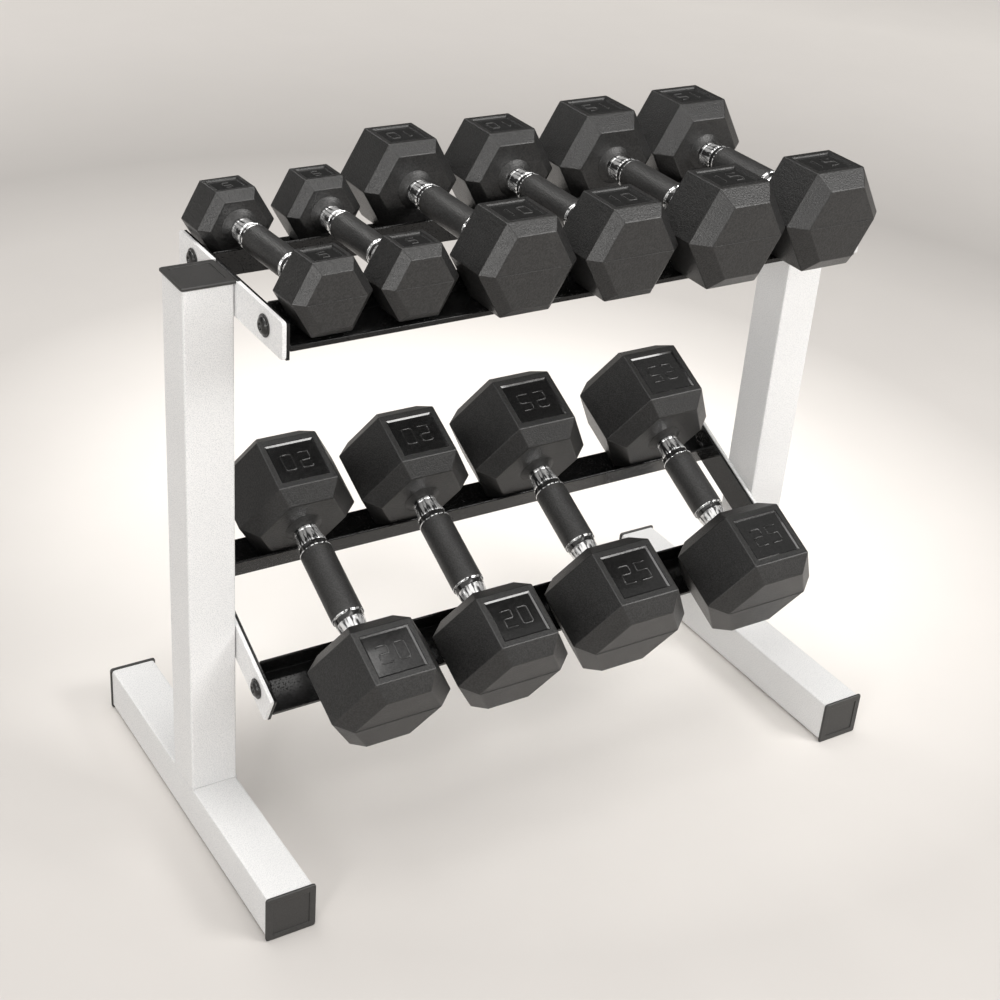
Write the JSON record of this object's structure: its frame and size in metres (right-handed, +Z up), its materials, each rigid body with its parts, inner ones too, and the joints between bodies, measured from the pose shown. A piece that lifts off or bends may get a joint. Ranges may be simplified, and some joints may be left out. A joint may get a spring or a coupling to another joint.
{
  "type": "dumbbell rack",
  "caption": "Two-tier dumbbell rack with square-tube end frames, trays of folded steel rails, the lower one tilted, and hexagonal rubber dumbbells that lift off.",
  "frame": {"origin": "on the floor, at the middle of the rack's footprint", "axes": "+X runs along the rack to the right of someone facing it, +Y to the back, +Z up"},
  "size_m": [0.768, 0.425, 0.7017],
  "materials": {
    "frame_paint": "satin white powder coat",
    "tray_paint": "gloss black textured powder coat",
    "cap_plastic": "moulded black plastic",
    "bolt_black": "black oxide",
    "head_rubber": "matt charcoal rubber skin over an iron core",
    "handle_chrome": "polished chrome with a black grip"
  },
  "bodies": {
    "rack": {"upright_left": "frame_paint", "foot_left": "frame_paint", "upright_cap_left": "cap_plastic", "foot_cap_front_left": "cap_plastic", "foot_cap_rear_left": "cap_plastic", "upright_right": "frame_paint", "foot_right": "frame_paint", "upright_cap_right": "cap_plastic", "foot_cap_front_right": "cap_plastic", "foot_cap_rear_right": "cap_plastic", "bracket_upper_left": "frame_paint", "end_bar_upper_left": "tray_paint", "bolt_upper_left_front": "bolt_black", "bolt_upper_left_rear": "bolt_black", "bracket_upper_right": "frame_paint", "end_bar_upper_right": "tray_paint", "bolt_upper_right_front": "bolt_black", "bolt_upper_right_rear": "bolt_black", "rail_upper_front": "tray_paint", "rail_upper_rear": "tray_paint", "bracket_lower_left": "frame_paint", "end_bar_lower_left": "tray_paint", "bolt_lower_left_front": "bolt_black", "bolt_lower_left_rear": "bolt_black", "bracket_lower_right": "frame_paint", "end_bar_lower_right": "tray_paint", "bolt_lower_right_front": "bolt_black", "bolt_lower_right_rear": "bolt_black", "rail_lower_front": "tray_paint", "rail_lower_rear": "tray_paint"},
    "dumbbell_05_left": {"dumbbell_05_left_front_head": "head_rubber", "dumbbell_05_left_rear_head": "head_rubber", "dumbbell_05_left_handle": "handle_chrome"},
    "dumbbell_05_right": {"dumbbell_05_right_front_head": "head_rubber", "dumbbell_05_right_rear_head": "head_rubber", "dumbbell_05_right_handle": "handle_chrome"},
    "dumbbell_10_left": {"dumbbell_10_left_front_head": "head_rubber", "dumbbell_10_left_rear_head": "head_rubber", "dumbbell_10_left_handle": "handle_chrome"},
    "dumbbell_10_right": {"dumbbell_10_right_front_head": "head_rubber", "dumbbell_10_right_rear_head": "head_rubber", "dumbbell_10_right_handle": "handle_chrome"},
    "dumbbell_15_left": {"dumbbell_15_left_front_head": "head_rubber", "dumbbell_15_left_rear_head": "head_rubber", "dumbbell_15_left_handle": "handle_chrome"},
    "dumbbell_15_right": {"dumbbell_15_right_front_head": "head_rubber", "dumbbell_15_right_rear_head": "head_rubber", "dumbbell_15_right_handle": "handle_chrome"},
    "dumbbell_20_left": {"dumbbell_20_left_front_head": "head_rubber", "dumbbell_20_left_rear_head": "head_rubber", "dumbbell_20_left_handle": "handle_chrome"},
    "dumbbell_20_right": {"dumbbell_20_right_front_head": "head_rubber", "dumbbell_20_right_rear_head": "head_rubber", "dumbbell_20_right_handle": "handle_chrome"},
    "dumbbell_25_left": {"dumbbell_25_left_front_head": "head_rubber", "dumbbell_25_left_rear_head": "head_rubber", "dumbbell_25_left_handle": "handle_chrome"},
    "dumbbell_25_right": {"dumbbell_25_right_front_head": "head_rubber", "dumbbell_25_right_rear_head": "head_rubber", "dumbbell_25_right_handle": "handle_chrome"}
  },
  "joints": [
    {"name": "lift_05_left", "type": "slide", "parent": "rack", "child": "dumbbell_05_left", "axis": [0, 0, 1], "range_m": [0, 0.2]},
    {"name": "lift_05_right", "type": "slide", "parent": "rack", "child": "dumbbell_05_right", "axis": [0, 0, 1], "range_m": [0, 0.2]},
    {"name": "lift_10_left", "type": "slide", "parent": "rack", "child": "dumbbell_10_left", "axis": [0, 0, 1], "range_m": [0, 0.2]},
    {"name": "lift_10_right", "type": "slide", "parent": "rack", "child": "dumbbell_10_right", "axis": [0, 0, 1], "range_m": [0, 0.2]},
    {"name": "lift_15_left", "type": "slide", "parent": "rack", "child": "dumbbell_15_left", "axis": [0, 0, 1], "range_m": [0, 0.2]},
    {"name": "lift_15_right", "type": "slide", "parent": "rack", "child": "dumbbell_15_right", "axis": [0, 0, 1], "range_m": [0, 0.2]},
    {"name": "lift_20_left", "type": "slide", "parent": "rack", "child": "dumbbell_20_left", "axis": [0, -0.4226, 0.9063], "range_m": [0, 0.15]},
    {"name": "lift_20_right", "type": "slide", "parent": "rack", "child": "dumbbell_20_right", "axis": [0, -0.4226, 0.9063], "range_m": [0, 0.15]},
    {"name": "lift_25_left", "type": "slide", "parent": "rack", "child": "dumbbell_25_left", "axis": [0, -0.4226, 0.9063], "range_m": [0, 0.15]},
    {"name": "lift_25_right", "type": "slide", "parent": "rack", "child": "dumbbell_25_right", "axis": [0, -0.4226, 0.9063], "range_m": [0, 0.15]}
  ]
}
